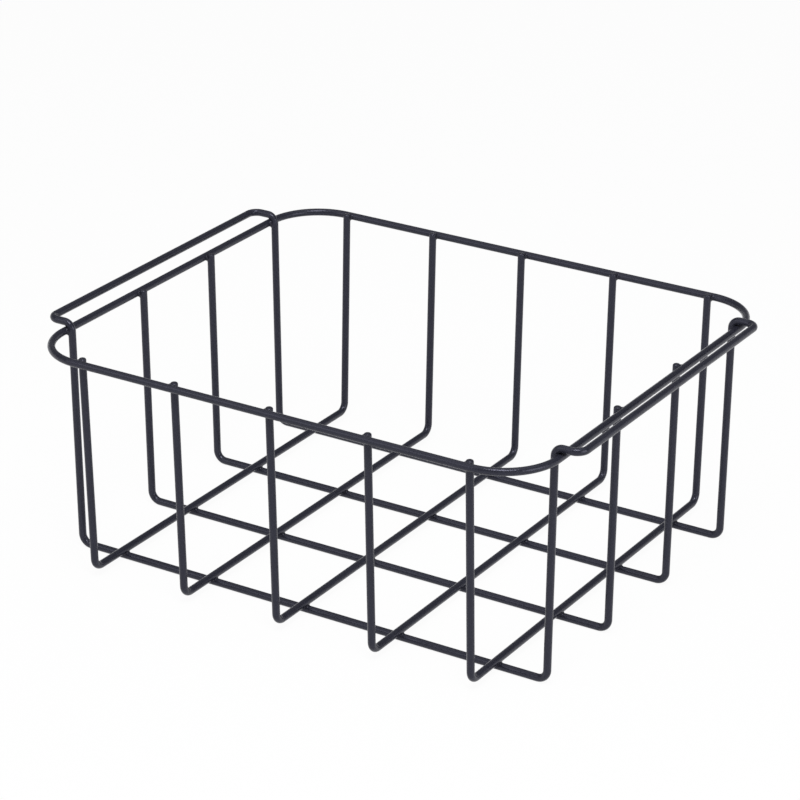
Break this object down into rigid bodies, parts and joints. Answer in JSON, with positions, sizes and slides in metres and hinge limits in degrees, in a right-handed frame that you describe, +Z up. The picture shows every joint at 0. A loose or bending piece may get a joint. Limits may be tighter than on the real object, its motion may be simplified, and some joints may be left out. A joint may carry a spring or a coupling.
{
  "type": "fridge storage basket",
  "caption": "Open wire basket with rounded corners, a grid floor, leaning wire walls and a fixed rail handle at each end, for holding food on a fridge shelf.",
  "frame": {"origin": "on the surface that the basket stands on, under the middle of its floor", "axes": "+X along the basket from one handle to the other, +Y from the front long side to the back one, +Z up"},
  "size_m": [0.3484, 0.2804, 0.1418],
  "materials": {
    "rim_wire": "satin powder coat",
    "cross_wires": "satin powder coat",
    "lengthwise_wires": "satin powder coat",
    "handle_wire": "satin powder coat"
  },
  "bodies": {
    "root": {"rim_wire": "rim_wire", "cross_wire_1": "cross_wires", "cross_wire_2": "cross_wires", "cross_wire_3": "cross_wires", "cross_wire_4": "cross_wires", "cross_wire_5": "cross_wires", "lengthwise_wire_1": "lengthwise_wires", "lengthwise_wire_2": "lengthwise_wires", "handle_wire": "handle_wire"}
  },
  "joints": []
}
